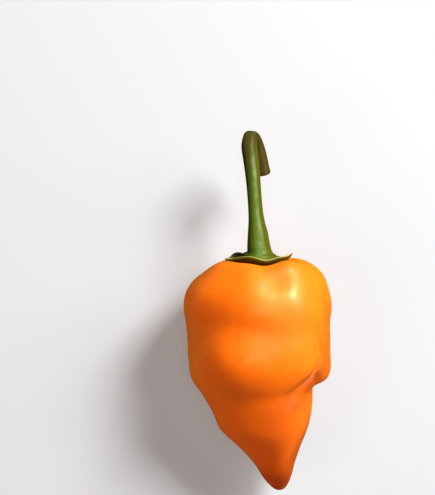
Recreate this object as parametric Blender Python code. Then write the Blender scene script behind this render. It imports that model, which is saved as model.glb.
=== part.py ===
"""Cambuci pepper: an orange lantern-shaped pod with its green calyx and hooked stalk, lying on its side."""

import math

import bmesh
import bpy
from mathutils import Matrix, Vector
from mathutils.bvhtree import BVHTree

COLLECTION_NAME = "cambuci_pepper"
CUTTER_COLLECTION_NAME = "cutters"

# Sizes are in millimetres and angles in degrees, and MM turns a size into metres.
MM = 0.001

# The pod is drawn in its own frame: +Y out of its crown along the stalk, +Z to the side that ends up
# on top, and 0 at the rim of its crown. Around runs from 0 at +X through 90 at +Z.
# It then lies down with its stalk end raised, and its crown is carried to this place.
LIE_TILT = 7.0
CROWN_PLACE = (-0.22, 12.56, 18.60)

POD_SEGMENTS = 72
POD_RINGS = 48
# Height, half width, half depth, sideways shift and upward shift of the section, from crown to tip.
POD_SECTIONS = (
    (-2.4, 0.0, 0.0, 0.6, 0.0),
    (-1.9, 3.2, 3.1, 0.7, 0.0),
    (-0.7, 6.2, 6.0, 0.9, 0.0),
    (0.1, 9.0, 8.6, 1.1, 0.0),
    (-0.7, 11.6, 11.0, 1.2, 0.0),
    (-3.0, 14.0, 13.1, 0.8, 0.0),
    (-6.6, 16.2, 15.0, 0.0, 0.1),
    (-11.0, 17.3, 16.1, -0.1, 0.1),
    (-15.6, 17.0, 16.2, -0.1, 0.1),
    (-20.2, 16.7, 16.1, 0.2, 0.1),
    (-24.8, 16.4, 15.6, 0.2, 0.1),
    (-29.2, 15.5, 14.6, -0.3, 0.1),
    (-33.4, 13.9, 13.1, 0.4, 0.0),
    (-37.8, 12.5, 11.9, 1.3, -0.1),
    (-42.4, 10.9, 10.5, 1.8, -0.2),
    (-46.8, 7.9, 8.1, 3.2, -0.3),
    (-51.0, 5.3, 5.6, 4.4, -0.5),
    (-55.0, 3.5, 3.7, 5.2, -0.7),
    (-57.7, 1.7, 1.8, 5.7, -0.8),
    (-58.4, 0.0, 0.0, 5.8, -0.8),
)
# Share of the pod's length on either side of a place over which its slope is measured.
SLOPE_STEP = 0.002
# Relief stays out of the hollow of the crown: above this height it comes in between two half widths.
CROWN_BELOW = -3.0
RELIEF_STARTS = 5.0
RELIEF_FULL = 10.5

# Lobes that run down the pod: around, spread, top and bottom height, fade above and below, rise.
POD_LOBES = (
    (53.0, 20.0, -1.0, -24.0, 4.0, 12.0, 1.4),
    (100.0, 17.0, -1.0, -10.0, 4.0, 9.0, 0.6),
    (152.0, 16.0, -1.0, -10.0, 4.0, 9.0, 0.9),
    (200.0, 22.0, -6.0, -27.0, 8.0, 12.0, 1.3),
    (268.0, 26.0, -6.0, -30.0, 8.0, 10.0, 1.0),
    (340.0, 20.0, -6.0, -29.0, 8.0, 3.2, 2.2),
    (62.0, 20.0, -36.0, -52.0, 5.0, 5.0, 0.8),
    (250.0, 26.0, -36.0, -52.0, 5.0, 5.0, 0.4),
)
# Round swells and dents: around, height, half size across and along, rise (a dent's is negative).
POD_SWELLS = (
    (64.0, 0.3, 3.0, 1.2, 0.8),
    (122.0, 0.3, 3.0, 1.2, 0.5),
    (74.0, -2.0, 2.8, 3.2, -1.0),
    (88.0, 0.3, 2.2, 1.8, -0.4),
    (178.0, -3.5, 8.0, 2.6, -0.55),
    (60.0, -7.2, 2.2, 2.0, 0.25),
    (350.0, -28.0, 6.0, 2.2, 1.3),
    (112.0, -23.2, 6.8, 5.4, 1.9),
    (60.0, -21.5, 5.5, 5.5, 0.5),
    (123.0, -32.5, 3.0, 2.6, -0.5),
    (300.0, -12.0, 3.0, 7.0, -0.7),
    (235.0, -14.0, 3.5, 8.0, -0.6),
)
# Grooves pressed in along a path: around, height, half width and depth at each of its points.
POD_GROOVES = (
    # The shallow waist above the belly.
    (
        (192.0, -17.5, 2.6, 0.0),
        (165.0, -15.6, 3.1, 0.8),
        (138.0, -13.8, 3.7, 1.5),
        (110.0, -14.1, 3.7, 1.4),
        (88.0, -15.8, 3.2, 0.9),
        (66.0, -17.0, 3.0, 0.0),
    ),
    # The belly's lower edge, where the cone begins.
    (
        (160.0, -30.0, 3.0, 0.0),
        (128.0, -31.6, 3.2, 0.4),
        (98.0, -32.2, 3.2, 0.3),
        (76.0, -33.0, 3.0, 0.1),
    ),
    # The fold beside the rear lobe, which turns across the front and runs out.
    (
        (38.0, -13.0, 0.7, 0.0),
        (32.0, -17.0, 0.7, 0.5),
        (25.0, -22.0, 0.7, 0.6),
        (29.0, -25.4, 0.8, 1.2),
        (44.0, -29.0, 0.9, 1.5),
        (53.0, -31.3, 1.2, 1.0),
        (70.0, -33.6, 2.0, 0.0),
    ),
    # The same fold's other arm, round the end of the rear lobe to the back.
    (
        (31.0, -26.0, 0.9, 0.7),
        (14.0, -31.0, 1.2, 0.8),
        (-16.0, -32.6, 1.6, 0.8),
        (-48.0, -33.4, 2.4, 0.0),
    ),
)

# A box as wide as this takes off what is below the ground, and leaves the flat spot the pod rests on.
GROUND_BOX_WIDE = 60.0
GROUND_BOX_DEEP = 10.0

STALK_SEGMENTS = 40
# Rings on the calyx's underside, over its margin and top, and along the stalk.
UNDERSIDE_RINGS = 7
TOP_RINGS = 8
STALK_RINGS = 40
CALYX_GAP = 0.3
CALYX_CENTRE = (0.5, 0.0)
CALYX_REACH = 7.5
CALYX_MARGIN_THICK = 0.5
CALYX_TOP_THICK = 0.9
# How sharply the margin curls up, and the shares of the way in over which the calyx thickens to its
# full and from which it begins to rise to the stalk.
CALYX_CURL = 4
CALYX_THICKENS = 0.3
CALYX_RISES = 0.2
# Teeth of the margin: around, spread, how far each reaches out and how far it lifts.
CALYX_TEETH = (
    (6.0, 11.0, 0.8, 1.85),
    (29.0, 12.0, 0.1, 1.15),
    (56.0, 16.0, 0.1, 0.8),
    (97.0, 18.0, 0.7, 0.8),
    (128.0, 18.0, 0.0, 0.75),
    (177.0, 11.0, 1.0, 0.3),
    (226.0, 18.0, 0.5, 1.3),
    (302.0, 14.0, 0.8, 0.3),
)
# Middle of the stalk and its half thickness, from the calyx round the hook to the scar.
STALK_LINE = (
    (0.5, 1.9, 0.0, 4.2),
    (0.5, 2.7, 0.0, 3.15),
    (0.3, 4.4, 0.0, 2.85),
    (0.1, 7.2, 0.0, 2.5),
    (-0.3, 11.2, 0.0, 1.9),
    (-0.7, 16.2, -0.1, 1.75),
    (-1.1, 21.0, -0.3, 1.8),
    (-1.6, 25.4, -0.5, 1.9),
    (-2.0, 28.4, -0.8, 1.95),
    (-1.9, 30.1, -1.6, 1.95),
    (-1.5, 30.7, -3.1, 2.0),
    (-0.8, 30.1, -4.6, 1.9),
    (0.0, 28.3, -5.3, 1.85),
    (0.65, 25.8, -5.5, 1.9),
    (1.0, 23.6, -5.6, 2.0),
    (1.3, 21.9, -5.7, 2.1),
)
STALK_RIBS = 5
STALK_RIB_RISE = 0.05
STALK_RIBS_FADE = 0.2
STALK_TWIST = 70.0
# The scar's rim is rounded by this much, in this many rings, round a middle that is sunk a little.
SCAR_ROUND = 0.7
SCAR_RINGS = 4
SCAR_DISH = 0.4

POD_COLOUR = (0.90, 0.25, 0.01)
POD_ROUGHNESS = 0.3
STALK_COLOUR = (0.08, 0.19, 0.03)
STALK_ROUGHNESS = 0.45


def smooth_step(low, high, value):
    """0 below low, 1 above high, and an even ease between them."""
    share = min(max((value - low) / (high - low), 0.0), 1.0)
    return share * share * (3.0 - 2.0 * share)


def bell(distance):
    """1 at no distance, falling off smoothly to nothing at about three."""
    return math.exp(-0.5 * distance * distance)


def turn_between(around, middle):
    """Signed angle from middle to around, from -180 to 180."""
    return (around - middle + 180.0) % 360.0 - 180.0


def curve_through(before, start, end, after, share):
    """Point between two rows on the smooth curve that also heeds the rows on either side."""
    square = share * share
    cube = square * share
    return [
        0.5 * (2.0 * b + (c - a) * share + (2.0 * a - 5.0 * b + 4.0 * c - d) * square
               + (3.0 * b - a - 3.0 * c + d) * cube)
        for a, b, c, d in zip(before, start, end, after)
    ]


def row_at(rows, place, before_first, after_last):
    """Row at a place from 0 to 1 along the curve through the rows."""
    padded = [before_first] + list(rows) + [after_last]
    reach = place * (len(rows) - 1)
    index = min(int(reach), len(rows) - 2)
    return curve_through(*padded[index:index + 4], reach - index)


def pod_section(place):
    """Section of the pod at a place from 0 at its crown to 1 at its tip, rounded over both ends."""
    def across(row):
        return (row[0], -row[1], -row[2], row[3], row[4])
    return row_at(POD_SECTIONS, place, across(POD_SECTIONS[1]), across(POD_SECTIONS[-2]))


def lobe_rise(around, height):
    """What the lobes add to the skin."""
    rise = 0.0
    for middle, spread, top, bottom, fade_above, fade_below, most in POD_LOBES:
        share = smooth_step(top + fade_above, top, height)
        share *= smooth_step(bottom - fade_below, bottom, height)
        rise += most * share * bell(turn_between(around, middle) / spread)
    return rise


def swell_rise(around, height, radius):
    """What the round swells add to the skin, and the dents take from it."""
    rise = 0.0
    for middle, level, across, along, most in POD_SWELLS:
        aside = math.radians(turn_between(around, middle)) * radius
        rise += most * bell(math.hypot(aside / across, (height - level) / along))
    return rise


def groove_depth(path, around, height, radius):
    """Depth of one groove at a point of the skin, by the nearest point of its path."""
    deepest = 0.0
    for start, end in zip(path, path[1:]):
        run_x = math.radians(end[0] - start[0]) * radius
        run_y = end[1] - start[1]
        off_x = math.radians(turn_between(around, start[0])) * radius
        off_y = height - start[1]
        share = (off_x * run_x + off_y * run_y) / (run_x * run_x + run_y * run_y)
        share = min(max(share, 0.0), 1.0)
        half_width = start[2] + (end[2] - start[2]) * share
        depth = start[3] + (end[3] - start[3]) * share
        distance = math.hypot(off_x - run_x * share, off_y - run_y * share)
        deepest = max(deepest, depth * bell(distance / half_width))
    return deepest


def pod_point(place, around):
    """Point of the pod's skin, in millimetres in the pod's own frame."""
    height, half_width, half_depth, shift_x, shift_z = pod_section(place)
    above = pod_section(max(place - SLOPE_STEP, 0.0))
    below = pod_section(min(place + SLOPE_STEP, 1.0))
    slope = math.hypot(below[1] - above[1], below[0] - above[0])
    outward = (above[0] - below[0]) / slope
    upward = (below[1] - above[1]) / slope
    rise = lobe_rise(around, height) + swell_rise(around, height, half_width)
    rise -= max(groove_depth(path, around, height, half_width) for path in POD_GROOVES)
    if height > CROWN_BELOW:
        rise *= smooth_step(RELIEF_STARTS, RELIEF_FULL, half_width)
    turn = math.radians(around)
    return Vector((
        shift_x + (half_width + outward * rise) * math.cos(turn),
        height + upward * rise,
        shift_z + (half_depth + outward * rise) * math.sin(turn),
    ))


def lay_down():
    """Matrix that takes millimetres in the pod's own frame to where it lies, in metres."""
    carried = Matrix.Translation(Vector(CROWN_PLACE) * MM)
    return carried @ Matrix.Rotation(math.radians(LIE_TILT), 4, "X") @ Matrix.Scale(MM, 4)


def sphere_mould(segments, rings):
    """Ball whose rings are moved into a shape, with each point's place from pole to pole and its turn."""
    mould = bmesh.new()
    bmesh.ops.create_uvsphere(mould, u_segments=segments, v_segments=rings, radius=1.0)
    spots = []
    for vert in mould.verts:
        place = math.acos(min(max(vert.co.z, -1.0), 1.0)) / math.pi
        around = math.degrees(math.atan2(vert.co.y, vert.co.x))
        spots.append((vert, place, around))
    return mould, spots


def object_from(mould, name, material, collection):
    """Smooth-shaded object made of the mould, with its faces pointing out."""
    bmesh.ops.recalc_face_normals(mould, faces=mould.faces)
    mesh = bpy.data.meshes.new(name)
    mould.to_mesh(mesh)
    mould.free()
    mesh.shade_smooth()
    mesh.materials.append(material)
    thing = bpy.data.objects.new(name, mesh)
    collection.objects.link(thing)
    return thing


def plain_material(name, colour, roughness):
    """Skin of one colour, with the soft gloss of fruit wax."""
    material = bpy.data.materials.new(name)
    material.use_nodes = True
    shader = material.node_tree.nodes["Principled BSDF"]
    shader.inputs["Base Color"].default_value = (*colour, 1.0)
    shader.inputs["Roughness"].default_value = roughness
    shader.inputs["Metallic"].default_value = 0.0
    material.diffuse_color = (*colour, 1.0)
    return material


def make_pod(collection, cutters):
    """The fruit: a dimpled crown, soft lobes, a round belly and a cone that curves to its tip."""
    mould, spots = sphere_mould(POD_SEGMENTS, POD_RINGS)
    for vert, place, around in spots:
        vert.co = pod_point(place, around)
    bmesh.ops.transform(mould, matrix=lay_down(), verts=mould.verts)
    pod = object_from(mould, "pod", plain_material("pod_skin", POD_COLOUR, POD_ROUGHNESS), collection)
    cut = pod.modifiers.new("flat_spot", "BOOLEAN")
    cut.operation = "DIFFERENCE"
    cut.object = make_ground_box(cutters)
    return pod


def make_ground_box(cutters):
    """Box whose top is the ground, under the pod."""
    mould = bmesh.new()
    bmesh.ops.create_cube(mould, size=1.0)
    size = (GROUND_BOX_WIDE * MM, GROUND_BOX_WIDE * MM, GROUND_BOX_DEEP * MM)
    bmesh.ops.scale(mould, vec=size, verts=mould.verts)
    bmesh.ops.translate(mould, vec=(0.0, 0.0, -0.5 * GROUND_BOX_DEEP * MM), verts=mould.verts)
    mesh = bpy.data.meshes.new("ground_box")
    mould.to_mesh(mesh)
    mould.free()
    box = bpy.data.objects.new("ground_box", mesh)
    box.hide_render = True
    box.display_type = "WIRE"
    cutters.objects.link(box)
    return box


def crown_surface():
    """The crown of the pod as a surface to drop points on, in its own frame."""
    mould, spots = sphere_mould(POD_SEGMENTS, POD_RINGS)
    for vert, place, around in spots:
        vert.co = pod_point(place, around)
    tree = BVHTree.FromBMesh(mould)
    mould.free()
    return tree


def crown_height(crown, x, z):
    """Height of the crown under a point."""
    start_height = 20.0
    hit = crown.ray_cast(Vector((x, start_height, z)), Vector((0.0, -1.0, 0.0)))
    return hit[0].y


def calyx_edge(around):
    """How far the calyx's margin reaches at an angle, and how far it lifts there."""
    reach = CALYX_REACH
    lift = 0.0
    for middle, spread, out, up in CALYX_TEETH:
        share = bell(turn_between(around, middle) / spread)
        reach += out * share
        lift += up * share
    return reach, lift


def calyx_point(crown, share, around, thick):
    """Point of the calyx at a share of the way out to its margin, thick above the crown."""
    reach, lift = calyx_edge(around)
    turn = math.radians(around)
    x = CALYX_CENTRE[0] + reach * share * math.cos(turn)
    z = CALYX_CENTRE[1] + reach * share * math.sin(turn)
    return Vector((x, crown_height(crown, x, z) + CALYX_GAP + thick + lift * share ** CALYX_CURL, z))


def stalk_frames():
    """Middle, half thickness and two crossing directions at each ring of the stalk, from the calyx out."""
    first = STALK_LINE[0]
    last = STALK_LINE[-1]
    before = tuple(2.0 * a - b for a, b in zip(first, STALK_LINE[1]))
    after = tuple(2.0 * a - b for a, b in zip(last, STALK_LINE[-2]))
    rows = [row_at(STALK_LINE, ring / (STALK_RINGS - 1), before, after) for ring in range(STALK_RINGS)]
    middles = [Vector(row[:3]) for row in rows]
    frames = []
    side = Vector((1.0, 0.0, 0.0))
    for ring, row in enumerate(rows):
        ahead = middles[min(ring + 1, STALK_RINGS - 1)] - middles[max(ring - 1, 0)]
        ahead.normalize()
        side = (side - ahead * side.dot(ahead)).normalized()
        frames.append((middles[ring], row[3], side, side.cross(ahead), ahead))
    return frames


def stalk_point(frames, ring, around):
    """Point of the stalk's skin on one of its rings, with low ribs that turn slowly about it."""
    middle, radius, side, top, _ = frames[ring]
    along = ring / (STALK_RINGS - 1)
    rib_turn = math.radians(STALK_RIBS * around + STALK_TWIST * along)
    radius *= 1.0 + STALK_RIB_RISE * smooth_step(0.0, STALK_RIBS_FADE, along) * math.cos(rib_turn)
    turn = math.radians(around)
    return middle + (side * math.cos(turn) + top * math.sin(turn)) * radius


def calyx_top_point(crown, frames, inward, around):
    """Point of the calyx's upper skin, inward from its margin to where the stalk rises from it."""
    foot = stalk_point(frames, 0, around)
    reach, _ = calyx_edge(around)
    foot_share = math.hypot(foot.x - CALYX_CENTRE[0], foot.z - CALYX_CENTRE[1]) / reach
    share = 1.0 + (foot_share - 1.0) * inward
    draped = calyx_point(crown, share, around, CALYX_MARGIN_THICK)
    draped.y += (CALYX_TOP_THICK - CALYX_MARGIN_THICK) * smooth_step(0.0, CALYX_THICKENS, inward)
    return draped.lerp(foot, smooth_step(CALYX_RISES, 1.0, inward))


def scar_point(frames, ring, around):
    """Point of the scar at the stalk's end, whose rim turns over into a sunk middle."""
    middle, _, _, _, ahead = frames[-1]
    if ring == SCAR_RINGS:
        return middle + ahead * (SCAR_ROUND - SCAR_DISH)
    over = math.radians(90.0 * ring / (SCAR_RINGS - 1))
    rim = stalk_point(frames, STALK_RINGS - 1, around) - middle
    narrowed = rim.length - SCAR_ROUND * (1.0 - math.cos(over))
    return middle + rim.normalized() * narrowed + ahead * SCAR_ROUND * math.sin(over)


def make_stalk_with_calyx(collection):
    """The green stalk, grown in one piece with the calyx that caps the pod's crown."""
    crown = crown_surface()
    frames = stalk_frames()
    top_start = UNDERSIDE_RINGS + 1
    stalk_start = top_start + TOP_RINGS
    scar_start = stalk_start + STALK_RINGS - 1
    rings = scar_start + SCAR_RINGS
    mould, spots = sphere_mould(STALK_SEGMENTS, rings)
    for vert, place, around in spots:
        ring = round(place * rings)
        if ring < top_start:
            vert.co = calyx_point(crown, ring / UNDERSIDE_RINGS, around, 0.0)
        elif ring < stalk_start:
            vert.co = calyx_top_point(crown, frames, (ring - top_start) / TOP_RINGS, around)
        elif ring <= scar_start:
            vert.co = stalk_point(frames, ring - stalk_start, around)
        else:
            vert.co = scar_point(frames, ring - scar_start, around)
    bmesh.ops.transform(mould, matrix=lay_down(), verts=mould.verts)
    material = plain_material("stalk_green", STALK_COLOUR, STALK_ROUGHNESS)
    return object_from(mould, "stalk_with_calyx", material, collection)


def clear_scene():
    """Remove every object that the file opened with."""
    for thing in list(bpy.data.objects):
        bpy.data.objects.remove(thing, do_unlink=True)


def new_collection(name):
    """Collection under the scene's own."""
    collection = bpy.data.collections.new(name)
    bpy.context.scene.collection.children.link(collection)
    return collection


def main():
    clear_scene()
    parts = new_collection(COLLECTION_NAME)
    cutters = new_collection(CUTTER_COLLECTION_NAME)
    make_pod(parts, cutters)
    make_stalk_with_calyx(parts)


main()
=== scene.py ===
"""Looks of the cambuci pepper: its waxy orange skin, its green stalk and calyx, the light and the camera."""

import functools
import math

import bmesh
import bpy
from mathutils import Matrix, Vector, noise
from mathutils.bvhtree import BVHTree


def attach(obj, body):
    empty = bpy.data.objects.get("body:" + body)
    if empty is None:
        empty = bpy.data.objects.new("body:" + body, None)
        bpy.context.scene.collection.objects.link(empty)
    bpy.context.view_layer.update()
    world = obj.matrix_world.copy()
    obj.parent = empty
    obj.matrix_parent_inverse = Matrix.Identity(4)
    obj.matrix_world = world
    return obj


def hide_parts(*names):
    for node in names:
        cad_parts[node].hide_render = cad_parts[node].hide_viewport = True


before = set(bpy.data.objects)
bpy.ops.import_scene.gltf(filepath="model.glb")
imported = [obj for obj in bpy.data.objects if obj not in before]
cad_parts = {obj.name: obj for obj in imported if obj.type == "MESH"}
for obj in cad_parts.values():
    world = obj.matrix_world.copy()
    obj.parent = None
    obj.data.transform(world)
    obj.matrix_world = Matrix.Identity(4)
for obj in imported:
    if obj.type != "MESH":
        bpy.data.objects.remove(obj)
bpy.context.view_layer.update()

# Sizes are in millimetres and angles in degrees, and MM turns a size into metres.
MM = 0.001

# The pod is drawn in its own frame, as in the part's source: +Y out of its crown along the stalk, +Z to
# the side that ends up on top. Around runs from 0 at +X through 90 at +Z.
LIE_TILT = 7.0
CROWN_PLACE = (-0.22, 12.56, 18.60)

POD_SEGMENTS = 320
POD_RINGS = 230
# Height, half width, half depth, sideways shift and upward shift of the section, from crown to tip.
POD_SECTIONS = (
    (-2.4, 0.0, 0.0, 0.6, 0.0),
    (-1.9, 3.2, 3.1, 0.7, 0.0),
    (-0.7, 6.2, 6.0, 0.9, 0.0),
    (0.1, 9.0, 8.6, 1.1, 0.0),
    (-0.7, 11.6, 11.0, 1.2, 0.0),
    (-3.0, 14.0, 13.1, 0.8, 0.0),
    (-6.6, 16.2, 15.0, 0.0, 0.1),
    (-11.0, 17.3, 16.1, -0.1, 0.1),
    (-15.6, 17.0, 16.2, -0.1, 0.1),
    (-20.2, 16.7, 16.1, 0.2, 0.1),
    (-24.8, 16.4, 15.6, 0.2, 0.1),
    (-29.2, 15.5, 14.6, -0.3, 0.1),
    (-33.4, 13.9, 13.1, 0.4, 0.0),
    (-37.8, 12.5, 11.9, 1.3, -0.1),
    (-42.4, 10.9, 10.5, 1.8, -0.2),
    (-46.8, 7.9, 8.1, 3.2, -0.3),
    (-51.0, 5.3, 5.6, 4.4, -0.5),
    (-55.0, 3.5, 3.7, 5.2, -0.7),
    (-57.7, 1.7, 1.8, 5.7, -0.8),
    (-58.4, 0.0, 0.0, 5.8, -0.8),
)
# Share of the pod's length on either side of a place over which its slope is measured.
SLOPE_STEP = 0.002
# Relief stays out of the hollow of the crown: above this height it comes in between two half widths.
CROWN_BELOW = -3.0
RELIEF_STARTS = 5.0
RELIEF_FULL = 10.5

# Lobes that run down the pod: around, spread, top and bottom height, fade above and below, rise.
POD_LOBES = (
    (53.0, 20.0, -1.0, -24.0, 4.0, 12.0, 1.4),
    (100.0, 17.0, -1.0, -10.0, 4.0, 9.0, 0.6),
    (152.0, 16.0, -1.0, -10.0, 4.0, 9.0, 0.9),
    (200.0, 22.0, -6.0, -27.0, 8.0, 12.0, 1.3),
    (268.0, 26.0, -6.0, -30.0, 8.0, 10.0, 1.0),
    (340.0, 20.0, -6.0, -29.0, 8.0, 3.2, 2.2),
    (62.0, 20.0, -36.0, -52.0, 5.0, 5.0, 0.8),
    (250.0, 26.0, -36.0, -52.0, 5.0, 5.0, 0.4),
)
# Round swells and dents: around, height, half size across and along, rise (a dent's is negative).
POD_SWELLS = (
    (64.0, 0.3, 3.0, 1.2, 0.8),
    (122.0, 0.3, 3.0, 1.2, 0.5),
    (74.0, -2.0, 2.8, 3.2, -1.0),
    (88.0, 0.3, 2.2, 1.8, -0.4),
    (178.0, -3.5, 8.0, 2.6, -0.55),
    (60.0, -7.2, 2.2, 2.0, 0.25),
    (350.0, -28.0, 6.0, 2.2, 1.3),
    (112.0, -23.2, 6.8, 5.4, 1.9),
    (60.0, -21.5, 5.5, 5.5, 0.5),
    (123.0, -32.5, 3.0, 2.6, -0.5),
    (300.0, -12.0, 3.0, 7.0, -0.7),
    (235.0, -14.0, 3.5, 8.0, -0.6),
)
# Grooves pressed in along a path: around, height, half width and depth at each of its points.
POD_GROOVES = (
    # The shallow waist above the belly.
    (
        (192.0, -17.5, 2.6, 0.0),
        (165.0, -15.6, 3.1, 0.8),
        (138.0, -13.8, 3.7, 1.5),
        (110.0, -14.1, 3.7, 1.4),
        (88.0, -15.8, 3.2, 0.9),
        (66.0, -17.0, 3.0, 0.0),
    ),
    # The belly's lower edge, where the cone begins.
    (
        (160.0, -30.0, 3.0, 0.0),
        (128.0, -31.6, 3.2, 0.4),
        (98.0, -32.2, 3.2, 0.3),
        (76.0, -33.0, 3.0, 0.1),
    ),
    # The fold beside the rear lobe, which turns across the front and runs out.
    (
        (38.0, -13.0, 0.7, 0.0),
        (32.0, -17.0, 0.7, 0.5),
        (25.0, -22.0, 0.7, 0.6),
        (29.0, -25.4, 0.8, 1.2),
        (44.0, -29.0, 0.9, 1.5),
        (53.0, -31.3, 1.2, 1.0),
        (70.0, -33.6, 2.0, 0.0),
    ),
    # The same fold's other arm, round the end of the rear lobe to the back.
    (
        (31.0, -26.0, 0.9, 0.7),
        (14.0, -31.0, 1.2, 0.8),
        (-16.0, -32.6, 1.6, 0.8),
        (-48.0, -33.4, 2.4, 0.0),
    ),
)
# Painted shade, where the skin's colour is made deeper and darker: around, height, half size across and
# along, share.
POD_PAINTED_SHADE = (
    (33.0, -28.5, 2.6, 2.2, 1.0),
    (13.0, -25.0, 4.0, 4.5, 0.4),
    (54.0, -33.7, 3.0, 2.0, 0.8),
    (74.0, -1.2, 3.0, 1.6, 0.3),
    (8.0, -15.5, 3.5, 8.0, 0.35),
    (80.0, -37.5, 4.0, 4.0, 0.4),
    (68.0, -45.0, 2.6, 3.5, 0.35),
    (50.0, -51.5, 1.8, 2.4, 0.4),
)
# Unevenness of the skin: size of its waves and how far they rise.
SKIN_WAVES = ((9.0, 0.16), (3.6, 0.045), (1.4, 0.010))

STALK_SEGMENTS = 120
UNDERSIDE_RINGS = 16
TOP_RINGS = 34
STALK_RINGS = 190
CALYX_GAP = 0.08
CALYX_CENTRE = (0.5, 0.0)
CALYX_REACH = 7.5
CALYX_TOP_THICK = 1.0
# The margin is this thick, and thicker by this much around the middle of its front.
CALYX_MARGIN_THICK = 0.4
CALYX_FRONT_THICKER = 0.35
CALYX_FRONT_MIDDLE = 95.0
CALYX_FRONT_SPREAD = 30.0
# How sharply the margin curls up, and the shares of the way in over which the calyx thickens to its
# full and from which it begins to rise to the stalk.
CALYX_CURL = 4
CALYX_THICKENS = 0.3
CALYX_RISES = 0.1
# Low folds run out from the stalk over the calyx.
CALYX_FOLDS = 13
CALYX_FOLD_RISE = 0.12
# Share of the way in from the margin that the pale rim, partly a painted highlight, takes.
CALYX_RIM_WIDTH = 0.10
# Teeth of the margin: around, spread, how far each reaches out, how far it lifts and how dry it is.
CALYX_TEETH = (
    (6.0, 11.0, 0.8, 1.85, 1.0),
    (29.0, 12.0, 0.1, 1.15, 0.8),
    (56.0, 16.0, 0.1, 0.8, 0.2),
    (97.0, 18.0, 0.7, 0.8, 0.0),
    (128.0, 18.0, 0.0, 0.75, 0.3),
    (177.0, 11.0, 1.0, 0.3, 0.9),
    (226.0, 18.0, 0.5, 1.3, 0.1),
    (302.0, 14.0, 0.8, 0.3, 0.4),
)
# What each point of the stem tells its material: how much it is pale rim with a painted highlight, dried,
# underside with painted shade and scar.
STEM_SHARES = ("rim", "dry", "shaded_underside", "scar")
# The grain of the stem's skin is drawn as if on a rod of this half thickness, and the stalk's is this long.
GRAIN_RADIUS = 2.0
STALK_LENGTH = 42.0
# Middle of the stalk and its half thickness, from the calyx round the hook to the scar.
STALK_LINE = (
    (0.5, 1.9, 0.0, 4.2),
    (0.5, 2.7, 0.0, 3.15),
    (0.3, 4.4, 0.0, 2.85),
    (0.1, 7.2, 0.0, 2.5),
    (-0.3, 11.2, 0.0, 1.9),
    (-0.7, 16.2, -0.1, 1.75),
    (-1.1, 21.0, -0.3, 1.8),
    (-1.6, 25.4, -0.5, 1.9),
    (-2.0, 28.4, -0.8, 1.95),
    (-1.9, 30.1, -1.6, 1.95),
    (-1.5, 30.7, -3.1, 2.0),
    (-0.8, 30.1, -4.6, 1.9),
    (0.0, 28.3, -5.3, 1.85),
    (0.65, 25.8, -5.5, 1.9),
    (1.0, 23.6, -5.6, 2.0),
    (1.3, 21.9, -5.7, 2.1),
)
STALK_RIBS = 5
STALK_RIB_RISE = 0.05
STALK_RIBS_FADE = 0.2
STALK_TWIST = 70.0
# The scar's rim is rounded by this much, in this many rings, round a middle that is sunk a little.
SCAR_ROUND = 0.7
SCAR_RINGS = 14
SCAR_DISH = 0.4
# Cork comes in between these two rings of the scar.
SCAR_CORK_STARTS = 2
SCAR_CORK_FULL = 8

# The camera looks straight down. The crown stands at this pixel of the picture, and a pixel is this
# many millimetres at the height of the pod's middle.
PICTURE_SIZE = (435, 495)
CROWN_PIXEL = (257.0, 262.0)
PIXEL_SIZE = 0.25
CAMERA_HIGH = 500.0
SENSOR_HEIGHT = 24.0

# Width of the floor in metres.
FLOOR_WIDE = 4.0
# Soft square lights: name, direction from the pepper, distance and width in metres, power in watts, tint,
# and whether the wax mirrors it.
LIGHTS = (
    ("key", (0.51, 0.57, 0.64), 0.8, 0.28, 12.0, "ffe9b0", True),
    ("side", (0.78, 0.34, 0.52), 0.8, 0.40, 3.5, "ffe9b0", True),
    ("top", (0.0, 0.0, 1.0), 0.9, 0.35, 1.2, "ffe4c0", True),
    ("fill", (-0.65, -0.30, 0.68), 0.8, 0.50, 2.1, "ffc878", False),
)
# Dim light from all around.
SURROUND_TINT = "ffdca0"
SURROUND_STRENGTH = 0.025


def smooth_step(low, high, value):
    """0 below low, 1 above high, and an even ease between them."""
    share = min(max((value - low) / (high - low), 0.0), 1.0)
    return share * share * (3.0 - 2.0 * share)


def bell(distance):
    """1 at no distance, falling off smoothly to nothing at about three."""
    return math.exp(-0.5 * distance * distance)


def turn_between(around, middle):
    """Signed angle from middle to around, from -180 to 180."""
    return (around - middle + 180.0) % 360.0 - 180.0


def curve_through(before, start, end, after, share):
    """Point between two rows on the smooth curve that also heeds the rows on either side."""
    square = share * share
    cube = square * share
    return [
        0.5 * (2.0 * b + (c - a) * share + (2.0 * a - 5.0 * b + 4.0 * c - d) * square
               + (3.0 * b - a - 3.0 * c + d) * cube)
        for a, b, c, d in zip(before, start, end, after)
    ]


def row_at(rows, place, before_first, after_last):
    """Row at a place from 0 to 1 along the curve through the rows."""
    padded = [before_first] + list(rows) + [after_last]
    reach = place * (len(rows) - 1)
    index = min(int(reach), len(rows) - 2)
    return curve_through(*padded[index:index + 4], reach - index)


@functools.lru_cache(maxsize=4096)
def pod_section(place):
    """Section of the pod at a place from 0 at its crown to 1 at its tip, rounded over both ends."""
    def across(row):
        return (row[0], -row[1], -row[2], row[3], row[4])
    return row_at(POD_SECTIONS, place, across(POD_SECTIONS[1]), across(POD_SECTIONS[-2]))


def lobe_rise(around, height):
    """What the lobes add to the skin."""
    rise = 0.0
    for middle, spread, top, bottom, fade_above, fade_below, most in POD_LOBES:
        share = smooth_step(top + fade_above, top, height)
        share *= smooth_step(bottom - fade_below, bottom, height)
        rise += most * share * bell(turn_between(around, middle) / spread)
    return rise


def sum_of_spots(spots, around, height, radius):
    """What round spots in a table add up to at a point of the skin."""
    total = 0.0
    for middle, level, across, along, most in spots:
        aside = math.radians(turn_between(around, middle)) * radius
        total += most * bell(math.hypot(aside / across, (height - level) / along))
    return total


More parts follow.
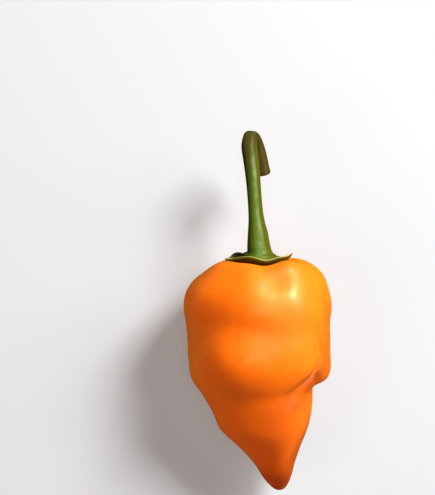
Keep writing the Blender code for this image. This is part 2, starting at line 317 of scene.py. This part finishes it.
def groove_depth(path, around, height, radius):
    """Depth of one groove at a point of the skin, by the nearest point of its path."""
    deepest = 0.0
    for start, end in zip(path, path[1:]):
        run_x = math.radians(end[0] - start[0]) * radius
        run_y = end[1] - start[1]
        off_x = math.radians(turn_between(around, start[0])) * radius
        off_y = height - start[1]
        share = (off_x * run_x + off_y * run_y) / (run_x * run_x + run_y * run_y)
        share = min(max(share, 0.0), 1.0)
        half_width = start[2] + (end[2] - start[2]) * share
        depth = start[3] + (end[3] - start[3]) * share
        distance = math.hypot(off_x - run_x * share, off_y - run_y * share)
        deepest = max(deepest, depth * bell(distance / half_width))
    return deepest


def skin_waves(point):
    """The skin's slight unevenness at a point."""
    return sum(most * noise.noise(point / size) for size, most in SKIN_WAVES)


def pod_point(place, around):
    """Point of the pod's skin, in millimetres in the pod's own frame."""
    height, half_width, half_depth, shift_x, shift_z = pod_section(place)
    above = pod_section(max(place - SLOPE_STEP, 0.0))
    below = pod_section(min(place + SLOPE_STEP, 1.0))
    slope = math.hypot(below[1] - above[1], below[0] - above[0])
    outward = (above[0] - below[0]) / slope
    upward = (below[1] - above[1]) / slope
    turn = math.radians(around)
    plain = Vector((half_width * math.cos(turn), height, half_depth * math.sin(turn)))
    rise = lobe_rise(around, height) + sum_of_spots(POD_SWELLS, around, height, half_width)
    rise -= max(groove_depth(path, around, height, half_width) for path in POD_GROOVES)
    rise += skin_waves(plain)
    if height > CROWN_BELOW:
        rise *= smooth_step(RELIEF_STARTS, RELIEF_FULL, half_width)
    return Vector((
        shift_x + (half_width + outward * rise) * math.cos(turn),
        height + upward * rise,
        shift_z + (half_depth + outward * rise) * math.sin(turn),
    ))


def lay_down():
    """Matrix that takes millimetres in the pod's own frame to where it lies, in metres."""
    carried = Matrix.Translation(Vector(CROWN_PLACE) * MM)
    return carried @ Matrix.Rotation(math.radians(LIE_TILT), 4, "X") @ Matrix.Scale(MM, 4)


def sphere_mould(segments, rings, shares, vectors=()):
    """Ball whose rings are moved into a shape, each point's ring and turn, and room for its named values."""
    mould = bmesh.new()
    bmesh.ops.create_uvsphere(mould, u_segments=segments, v_segments=rings, radius=1.0)
    for name in vectors:
        mould.verts.layers.float_vector.new(name)
    for name in shares:
        mould.verts.layers.float.new(name)
    spots = []
    for vert in mould.verts:
        ring = round(math.acos(min(max(vert.co.z, -1.0), 1.0)) / math.pi * rings)
        around = math.degrees(math.atan2(vert.co.y, vert.co.x))
        spots.append((vert, ring, around))
    return mould, spots


def piece_from(mould, name, material):
    """Smooth-shaded piece made of the mould, with its faces pointing out, riding with the part."""
    bmesh.ops.recalc_face_normals(mould, faces=mould.faces)
    mesh = bpy.data.meshes.new(name)
    mould.to_mesh(mesh)
    mould.free()
    mesh.shade_smooth()
    mesh.materials.append(material)
    piece = bpy.data.objects.new(name, mesh)
    bpy.context.scene.collection.objects.link(piece)
    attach(piece, "root")
    return piece


def colour(hex_text):
    """Linear colour of an sRGB hex value."""
    shares = [int(hex_text[start:start + 2], 16) / 255.0 for start in (0, 2, 4)]
    linear = [s / 12.92 if s <= 0.04045 else ((s + 0.055) / 1.055) ** 2.4 for s in shares]
    return (*linear, 1.0)


def add_node(tree, kind, inputs, **settings):
    """Shader node of a kind with its settings; inputs gives each socket a value or another's output."""
    made = tree.nodes.new("ShaderNode" + kind)
    for name, value in settings.items():
        setattr(made, name, value)
    for socket, value in inputs.items():
        if isinstance(value, bpy.types.NodeSocket):
            tree.links.new(value, made.inputs[socket])
        else:
            made.inputs[socket].default_value = value
    return made


def new_material(name):
    """Empty material with its output, and the tree to fill."""
    material = bpy.data.materials.new(name)
    material.use_nodes = True
    tree = material.node_tree
    tree.nodes.clear()
    return material, tree


def waxed_pepper_skin():
    """Ripe pepper skin, grown with a coat of wax: deep clear orange that light gets a little way into, with
    painted shade by its folds and on its tip.
    """
    material, tree = new_material("waxed_pepper_skin")
    spot = add_node(tree, "TexCoord", {}).outputs["Object"]
    # The tip is the ripest and reddest.
    parts = add_node(tree, "SeparateXYZ", {0: spot}).outputs
    along = parts["Y"]
    tip_share = add_node(tree, "MapRange", {0: along, 1: -10.0 * MM, 2: -42.0 * MM})
    below = add_node(tree, "Mix", {0: tip_share.outputs[0], 6: colour("f48500"), 7: colour("ec6f00")},
                     data_type="RGBA")
    # Its very end is painted a darker brown as painted shade, darkest along the right edge.
    tip_shade_share = add_node(tree, "MapRange", {0: along, 1: -38.0 * MM, 2: -42.5 * MM, 3: 0.0, 4: 0.85})
    tip_shaded = add_node(tree, "Mix", {0: tip_shade_share.outputs[0], 6: below.outputs[2], 7: colour("a03800")},
                     data_type="RGBA")
    aslant = add_node(tree, "Math", {0: parts["X"], 1: -2.0, 2: along}, operation="MULTIPLY_ADD")
    painted_edge_shade_share = add_node(tree, "MapRange",
                          {0: aslant.outputs[0], 1: -50.5 * MM, 2: -55.5 * MM, 3: 0.0, 4: 0.75})
    tip_edge_shaded = add_node(tree, "Mix", {0: painted_edge_shade_share.outputs[0], 6: tip_shaded.outputs[2], 7: colour("5a2000")},
                      data_type="RGBA")
    # Patches that ripened a little unevenly, about 16 mm across.
    patches = add_node(tree, "TexNoise", {"Vector": spot, "Scale": 1000.0 / 16.0, "Detail": 2.0})
    patch_share = add_node(tree, "MapRange", {0: patches.outputs["Fac"], 1: 0.4, 2: 0.7, 3: 0.0, 4: 0.35})
    ripe = add_node(tree, "Mix", {0: patch_share.outputs[0], 6: tip_edge_shaded.outputs[2], 7: colour("e86800")},
                    data_type="RGBA")
    # Faint mottling under the skin, about 2.5 mm across.
    mottle = add_node(tree, "TexNoise", {"Vector": spot, "Scale": 1000.0 / 2.5, "Detail": 3.0})
    mottle_share = add_node(tree, "MapRange", {0: mottle.outputs["Fac"], 1: 0.3, 2: 0.8, 3: 0.0, 4: 0.25})
    mottled = add_node(tree, "Mix", {0: mottle_share.outputs[0], 6: ripe.outputs[2], 7: colour("dc6200")},
                       data_type="RGBA")
    # Painted shade: deeper, darker colour beside the folds, along the right edge and on the cone.
    painted_shade = add_node(tree, "Attribute", {}, attribute_name="painted_shade").outputs["Fac"]
    skin = add_node(tree, "Mix", {0: painted_shade, 6: mottled.outputs[2], 7: colour("b45200")}, data_type="RGBA")
    # Pores of the wax, about 0.5 mm apart.
    pores = add_node(tree, "TexNoise", {"Vector": spot, "Scale": 1000.0 / 0.5, "Detail": 2.0})
    bump = add_node(tree, "Bump", {"Height": pores.outputs["Fac"], "Strength": 0.15, "Distance": 0.02 * MM})
    shader = add_node(tree, "BsdfPrincipled", {
        "Base Color": skin.outputs[2],
        "Roughness": 0.5,
        "IOR": 1.45,
        "Specular IOR Level": 0.8,
        "Coat Weight": 0.2,
        "Coat Roughness": 0.2,
        "Coat IOR": 1.5,
        "Subsurface Weight": 0.8,
        "Subsurface Radius": (1.0, 0.18, 0.02),
        "Subsurface Scale": 6.0 * MM,
        "Normal": bump.outputs["Normal"],
    })
    add_node(tree, "OutputMaterial", {"Surface": shader.outputs["BSDF"]})
    return material


def fresh_pepper_stem():
    """Fresh green stem, lightly waxed, with painted shade on its flanks and under the calyx's rim, a painted
    highlight in its pale bloom and rim, dry cream tips and a corky scar.
    """
    material, tree = new_material("fresh_pepper_stem")
    growth = add_node(tree, "Attribute", {}, attribute_name="growth").outputs["Vector"]
    rim, dry, shaded_underside, scar = (
        add_node(tree, "Attribute", {}, attribute_name=name).outputs["Fac"] for name in STEM_SHARES
    )
    grain = add_node(tree, "SeparateXYZ", {0: growth})
    # Streaks along the stem, about 1 mm wide and ten times as long.
    stretched = add_node(tree, "Mapping", {"Vector": growth, "Scale": (1.0, 1.0, 0.1)})
    streaks = add_node(tree, "TexNoise", {"Vector": stretched.outputs[0], "Scale": 1.0, "Detail": 4.0})
    streak_share = add_node(tree, "MapRange", {0: streaks.outputs["Fac"], 1: 0.35, 2: 0.7})
    green = add_node(tree, "Mix", {0: streak_share.outputs[0], 6: colour("3a5a0c"), 7: colour("567a22")},
                     data_type="RGBA")
    # A pale, bluish bloom of wax, which also serves as a painted highlight, runs down one side in flecks of
    # about 1.2 mm, thickest near the hook.
    bloom_highlight_line = add_node(tree, "MapRange", {0: grain.outputs["Z"], 1: 3.0, 2: 16.0, 3: 0.1, 4: 0.5})
    aside = add_node(tree, "Math", {0: grain.outputs["X"], 1: bloom_highlight_line.outputs[0]}, operation="SUBTRACT")
    away = add_node(tree, "Math", {0: aside.outputs[0]}, operation="ABSOLUTE")
    bloom_highlight_share = add_node(tree, "MapRange", {0: away.outputs[0], 1: 0.1, 2: 0.9, 3: 1.0, 4: 0.0})
    upper_share = add_node(tree, "MapRange", {0: grain.outputs["Y"], 1: 0.0, 2: 1.4})
    bloom_highlight_place = add_node(tree, "Math", {0: bloom_highlight_share.outputs[0], 1: upper_share.outputs[0]},
                           operation="MULTIPLY")
    flecks = add_node(tree, "TexNoise", {"Vector": growth, "Scale": 0.8, "Detail": 3.0})
    fleck_share = add_node(tree, "MapRange", {0: flecks.outputs["Fac"], 1: 0.4, 2: 0.62, 3: 0.25, 4: 0.6})
    calyx_share = add_node(tree, "MapRange", {0: grain.outputs["Z"], 1: -1.0, 2: 8.0, 3: 0.25, 4: 1.2})
    stalk_share = add_node(tree, "MapRange", {0: grain.outputs["Z"], 1: 14.0, 2: 20.0, 3: 0.85, 4: 1.3})
    along_share = add_node(tree, "Math", {0: calyx_share.outputs[0], 1: stalk_share.outputs[0]},
                           operation="MULTIPLY")
    thickness = add_node(tree, "Math", {0: fleck_share.outputs[0], 1: along_share.outputs[0]},
                         operation="MULTIPLY")
    bloom_and_highlight = add_node(tree, "Math", {0: bloom_highlight_place.outputs[0], 1: thickness.outputs[0]},
                     operation="MULTIPLY")
    bloomed_and_highlit = add_node(tree, "Mix", {0: bloom_and_highlight.outputs[0], 6: green.outputs[2], 7: colour("84ac92")},
                       data_type="RGBA")
    # Painted shade darkens one flank to a deep olive and the other edge to a duller olive, and the hook is
    # going brown.
    flank_shade_share = add_node(tree, "MapRange", {0: grain.outputs["X"], 1: -0.3, 2: -1.7, 3: 0.0, 4: 0.8})
    flank_shaded = add_node(tree, "Mix", {0: flank_shade_share.outputs[0], 6: bloomed_and_highlit.outputs[2], 7: colour("323806")},
                       data_type="RGBA")
    painted_edge_shade_share = add_node(tree, "MapRange", {0: grain.outputs["X"], 1: 0.3, 2: 1.7, 3: 0.0, 4: 0.8})
    edge_shaded = add_node(tree, "Mix", {0: painted_edge_shade_share.outputs[0], 6: flank_shaded.outputs[2], 7: colour("4c4c10")},
                     data_type="RGBA")
    aged = add_node(tree, "Math", {0: grain.outputs["X"], 1: -2.0, 2: grain.outputs["Z"]},
                    operation="MULTIPLY_ADD")
    hook_share = add_node(tree, "MapRange", {0: aged.outputs[0], 1: 16.0, 2: 23.0, 3: 0.0, 4: 0.9})
    hooked = add_node(tree, "Mix", {0: hook_share.outputs[0], 6: edge_shaded.outputs[2], 7: colour("362f03")},
                      data_type="RGBA")
    # The calyx's rim is a pale line, partly a painted highlight, over an underside darkened with painted
    # shade, and its tips have dried in 1.5 mm patches.
    front_share = add_node(tree, "MapRange", {0: grain.outputs["Y"], 1: -1.0, 2: 0.2, 3: 0.1, 4: 0.7})
    rim_highlight_share = add_node(tree, "Math", {0: rim, 1: front_share.outputs[0]}, operation="MULTIPLY")
    rimmed_and_highlit = add_node(tree, "Mix", {0: rim_highlight_share.outputs[0], 6: hooked.outputs[2], 7: colour("a4b06a")},
                      data_type="RGBA")
    # Painted shade on the underside and the margin's front face.
    underside_shade_share = add_node(tree, "MapRange", {0: shaded_underside, 1: 0.1, 2: 0.4})
    shaded = add_node(tree, "Mix", {0: underside_shade_share.outputs[0], 6: rimmed_and_highlit.outputs[2], 7: colour("363a02")},
                      data_type="RGBA")
    patches = add_node(tree, "TexNoise", {"Vector": growth, "Scale": 0.7, "Detail": 2.0})
    patch_share = add_node(tree, "MapRange", {0: patches.outputs["Fac"], 1: 0.35, 2: 0.55, 3: 0.3, 4: 1.0})
    dry_share = add_node(tree, "Math", {0: dry, 1: patch_share.outputs[0]}, operation="MULTIPLY")
    dried = add_node(tree, "Mix", {0: dry_share.outputs[0], 6: shaded.outputs[2], 7: colour("f0d0a8")},
                     data_type="RGBA")
    corked = add_node(tree, "Mix", {0: scar, 6: dried.outputs[2], 7: colour("8a6a34")}, data_type="RGBA")
    bump = add_node(tree, "Bump", {"Height": streaks.outputs["Fac"], "Strength": 0.35, "Distance": 0.12 * MM})
    dullness = add_node(tree, "MapRange", {0: hook_share.outputs[0], 1: 0.0, 2: 0.9, 3: 0.42, 4: 0.62})
    shader = add_node(tree, "BsdfPrincipled", {
        "Base Color": corked.outputs[2],
        "Roughness": dullness.outputs[0],
        "IOR": 1.45,
        "Specular IOR Level": 0.35,
        "Subsurface Weight": 0.1,
        "Subsurface Radius": (0.5, 1.0, 0.2),
        "Subsurface Scale": 0.8 * MM,
        "Normal": bump.outputs["Normal"],
    })
    add_node(tree, "OutputMaterial", {"Surface": shader.outputs["BSDF"]})
    return material


def matt_pale_board():
    """Uncoated board under the pepper: dull, faintly lit through, and cool to look white in warm light."""
    material, tree = new_material("matt_pale_board")
    shader = add_node(tree, "BsdfPrincipled", {
        "Base Color": colour("aabeff"),
        "Roughness": 0.9,
        "Emission Color": colour("ffffff"),
        "Emission Strength": 0.15,
    })
    add_node(tree, "OutputMaterial", {"Surface": shader.outputs["BSDF"]})
    return material


def make_pod():
    """The fruit: a dimpled crown, soft lobes, a round belly and a cone that curves to its tip."""
    mould, spots = sphere_mould(POD_SEGMENTS, POD_RINGS, ("painted_shade",))
    painted_shade = mould.verts.layers.float["painted_shade"]
    for vert, ring, around in spots:
        place = ring / POD_RINGS
        vert.co = pod_point(place, around)
        height, half_width = pod_section(place)[:2]
        # Share of painted shade that darkens the skin's colour at this point.
        vert[painted_shade] = min(sum_of_spots(POD_PAINTED_SHADE, around, height, half_width), 1.0)
    crown = BVHTree.FromBMesh(mould)
    bmesh.ops.transform(mould, matrix=lay_down(), verts=mould.verts)
    for vert in mould.verts:
        vert.co.z = max(vert.co.z, 0.0)
    pod = piece_from(mould, "pepper_pod", waxed_pepper_skin())
    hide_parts("pod")
    return crown


def crown_height(crown, x, z):
    """Height of the crown under a point."""
    start_height = 20.0
    hit = crown.ray_cast(Vector((x, start_height, z)), Vector((0.0, -1.0, 0.0)))
    return hit[0].y


def calyx_edge(around):
    """How far the calyx's margin reaches at an angle, how far it lifts there and how dry it is."""
    reach = CALYX_REACH
    lift = 0.0
    dryness = 0.0
    for middle, spread, out, up, dry in CALYX_TEETH:
        share = bell(turn_between(around, middle) / spread)
        reach += out * share
        lift += up * share
        dryness += dry * share
    return reach, lift, dryness


def calyx_point(crown, share, around, thick):
    """Point of the calyx at a share of the way out to its margin, thick above the crown."""
    reach, lift, _ = calyx_edge(around)
    turn = math.radians(around)
    x = CALYX_CENTRE[0] + reach * share * math.cos(turn)
    z = CALYX_CENTRE[1] + reach * share * math.sin(turn)
    return Vector((x, crown_height(crown, x, z) + CALYX_GAP + thick + lift * share ** CALYX_CURL, z))


def stalk_frames():
    """Middle, half thickness and two crossing directions at each ring of the stalk, from the calyx out."""
    first = STALK_LINE[0]
    last = STALK_LINE[-1]
    before = tuple(2.0 * a - b for a, b in zip(first, STALK_LINE[1]))
    after = tuple(2.0 * a - b for a, b in zip(last, STALK_LINE[-2]))
    rows = [row_at(STALK_LINE, ring / (STALK_RINGS - 1), before, after) for ring in range(STALK_RINGS)]
    middles = [Vector(row[:3]) for row in rows]
    frames = []
    side = Vector((1.0, 0.0, 0.0))
    for ring, row in enumerate(rows):
        ahead = middles[min(ring + 1, STALK_RINGS - 1)] - middles[max(ring - 1, 0)]
        ahead.normalize()
        side = (side - ahead * side.dot(ahead)).normalized()
        frames.append((middles[ring], row[3], side, side.cross(ahead), ahead))
    return frames


def stalk_point(frames, ring, around):
    """Point of the stalk's skin on one of its rings, with low ribs that turn slowly about it."""
    middle, radius, side, top, _ = frames[ring]
    along = ring / (STALK_RINGS - 1)
    rib_turn = math.radians(STALK_RIBS * around + STALK_TWIST * along)
    radius *= 1.0 + STALK_RIB_RISE * smooth_step(0.0, STALK_RIBS_FADE, along) * math.cos(rib_turn)
    turn = math.radians(around)
    return middle + (side * math.cos(turn) + top * math.sin(turn)) * radius


def calyx_top_point(crown, frames, inward, around):
    """Point of the calyx's upper skin, inward from its margin to where the stalk rises from it."""
    foot = stalk_point(frames, 0, around)
    reach, _, _ = calyx_edge(around)
    foot_share = math.hypot(foot.x - CALYX_CENTRE[0], foot.z - CALYX_CENTRE[1]) / reach
    share = 1.0 + (foot_share - 1.0) * inward
    thick = CALYX_MARGIN_THICK
    thick += CALYX_FRONT_THICKER * bell(turn_between(around, CALYX_FRONT_MIDDLE) / CALYX_FRONT_SPREAD)
    draped = calyx_point(crown, share, around, thick)
    draped.y += (CALYX_TOP_THICK - thick) * smooth_step(0.0, CALYX_THICKENS, inward)
    fold = math.cos(math.radians(CALYX_FOLDS * around)) * smooth_step(0.0, CALYX_THICKENS, inward)
    draped.y += CALYX_FOLD_RISE * fold
    return draped.lerp(foot, smooth_step(CALYX_RISES, 1.0, inward))


def scar_point(frames, ring, around):
    """Point of the scar at the stalk's end, whose rim turns over into a sunk middle."""
    middle, _, _, _, ahead = frames[-1]
    if ring == SCAR_RINGS:
        return middle + ahead * (SCAR_ROUND - SCAR_DISH)
    over = math.radians(90.0 * ring / (SCAR_RINGS - 1))
    rim = stalk_point(frames, STALK_RINGS - 1, around) - middle
    narrowed = rim.length - SCAR_ROUND * (1.0 - math.cos(over))
    return middle + rim.normalized() * narrowed + ahead * SCAR_ROUND * math.sin(over)


def make_stalk_with_calyx(crown):
    """The green stalk, grown in one piece with the calyx that caps the pod's crown."""
    frames = stalk_frames()
    top_start = UNDERSIDE_RINGS + 1
    stalk_start = top_start + TOP_RINGS
    scar_start = stalk_start + STALK_RINGS - 1
    rings = scar_start + SCAR_RINGS
    mould, spots = sphere_mould(STALK_SEGMENTS, rings, STEM_SHARES, ("growth",))
    growth = mould.verts.layers.float_vector["growth"]
    rim, dry, shaded_underside, scar = (mould.verts.layers.float[name] for name in STEM_SHARES)
    for vert, ring, around in spots:
        if ring < top_start:
            vert.co = calyx_point(crown, ring / UNDERSIDE_RINGS, around, 0.0)
            # The underside is darkened with painted shade.
            vert[shaded_underside] = 1.0
            grown = -CALYX_REACH * (2.0 - ring / UNDERSIDE_RINGS)
        elif ring < stalk_start:
            inward = (ring - top_start) / TOP_RINGS
            vert.co = calyx_top_point(crown, frames, inward, around)
            # The pale rim also carries a painted highlight.
            vert[rim] = bell(inward / CALYX_RIM_WIDTH)
            vert[dry] = vert[rim] * min(calyx_edge(around)[2], 1.0)
            grown = -CALYX_REACH * (1.0 - inward)
        elif ring <= scar_start:
            vert.co = stalk_point(frames, ring - stalk_start, around)
            grown = STALK_LENGTH * (ring - stalk_start) / (STALK_RINGS - 1)
        else:
            vert.co = scar_point(frames, ring - scar_start, around)
            vert[scar] = smooth_step(SCAR_CORK_STARTS, SCAR_CORK_FULL, ring - scar_start)
            grown = STALK_LENGTH
        turn = math.radians(around)
        vert[growth] = (GRAIN_RADIUS * math.cos(turn), GRAIN_RADIUS * math.sin(turn), grown)
    bmesh.ops.transform(mould, matrix=lay_down(), verts=mould.verts)
    stalk = piece_from(mould, "pepper_stalk_with_calyx", fresh_pepper_stem())
    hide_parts("stalk_with_calyx")


def make_floor():
    """Wide pale floor under the pepper."""
    bpy.ops.mesh.primitive_plane_add(size=FLOOR_WIDE, location=(0.0, 0.0, 0.0))
    floor = bpy.context.object
    floor.name = "floor"
    floor.data.materials.append(matt_pale_board())
    # The wax would mirror the board in a pale rim that the photographed pepper doesn't have.
    floor.visible_glossy = False


def light_the_scene():
    """Warm key and side lights from the right, weaker ones from above and the left, and a dim surround."""
    for name, toward, distance, size, power, tint, mirrored in LIGHTS:
        data = bpy.data.lights.new(name, "AREA")
        data.size = size
        data.energy = power
        data.color = colour(tint)[:3]
        light = bpy.data.objects.new(name, data)
        light.location = Vector(toward).normalized() * distance
        light.rotation_euler = Vector(toward).to_track_quat("Z", "Y").to_euler()
        light.visible_glossy = mirrored
        bpy.context.scene.collection.objects.link(light)
    world = bpy.data.worlds.new("surround")
    world.use_nodes = True
    background = world.node_tree.nodes["Background"]
    background.inputs["Color"].default_value = colour(SURROUND_TINT)
    background.inputs["Strength"].default_value = SURROUND_STRENGTH
    bpy.context.scene.world = world
    bpy.context.scene.view_settings.view_transform = "Standard"


def place_camera():
    """Camera straight above, framed so that the crown falls on its pixel of the picture."""
    width, height = PICTURE_SIZE
    data = bpy.data.cameras.new("camera")
    data.sensor_fit = "VERTICAL"
    data.sensor_height = SENSOR_HEIGHT
    data.lens = SENSOR_HEIGHT * CAMERA_HIGH / (height * PIXEL_SIZE)
    data.clip_start = 0.01
    camera = bpy.data.objects.new("camera", data)
    camera.location = Vector((
        CROWN_PLACE[0] + (0.5 * width - CROWN_PIXEL[0]) * PIXEL_SIZE,
        CROWN_PLACE[1] + (CROWN_PIXEL[1] - 0.5 * height) * PIXEL_SIZE,
        CROWN_PLACE[2] + CAMERA_HIGH,
    )) * MM
    bpy.context.scene.collection.objects.link(camera)
    bpy.context.scene.camera = camera


crown = make_pod()
make_stalk_with_calyx(crown)
make_floor()
light_the_scene()
place_camera()
